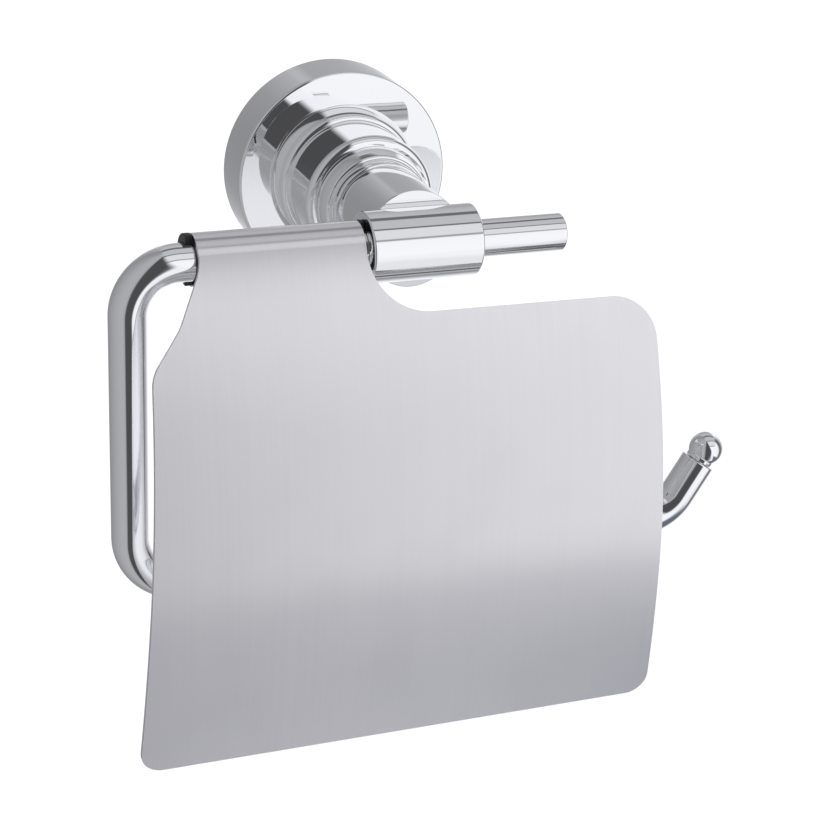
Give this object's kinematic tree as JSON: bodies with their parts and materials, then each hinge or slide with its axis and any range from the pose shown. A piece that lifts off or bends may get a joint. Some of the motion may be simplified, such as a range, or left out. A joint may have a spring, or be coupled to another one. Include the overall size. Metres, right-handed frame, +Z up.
{
  "type": "toilet roll holder",
  "caption": "Wall-mounted toilet roll holder: a round rosette and stepped post carry a bent rod with an upturned ball end, under a curved sheet lid that swings on the rod.",
  "frame": {"origin": "centre of the wall bracket's back face, on the wall", "axes": "+X right along the rod towards its open end, +Y into the wall, +Z up"},
  "size_m": [0.1606, 0.091, 0.1473],
  "materials": {
    "chrome": "polished",
    "brushed_steel": "vertical brushed grain",
    "cast_zinc": "as cast",
    "zinc_plated_steel": "zinc plated",
    "black_plastic": "satin"
  },
  "bodies": {
    "holder": {"wall_bracket": "cast_zinc", "rosette": "chrome", "rosette_screw": "zinc_plated_steel", "tie_bolt": "zinc_plated_steel", "tie_washer": "zinc_plated_steel", "base_collar": "chrome", "neck_collar": "chrome", "post": "chrome", "cross_sleeve": "chrome", "arm_screw": "zinc_plated_steel", "roll_arm": "chrome", "tip_ball": "chrome"},
    "lid": {"lid_plate": "brushed_steel", "lid_bush_left": "black_plastic", "lid_bush_right": "black_plastic"}
  },
  "joints": [
    {"name": "lid_hinge", "type": "hinge", "parent": "holder", "child": "lid", "pos_m": [-0.0346, -0.0674, 0], "axis": [-1, 0, 0], "range_deg": [-12, 178]}
  ]
}
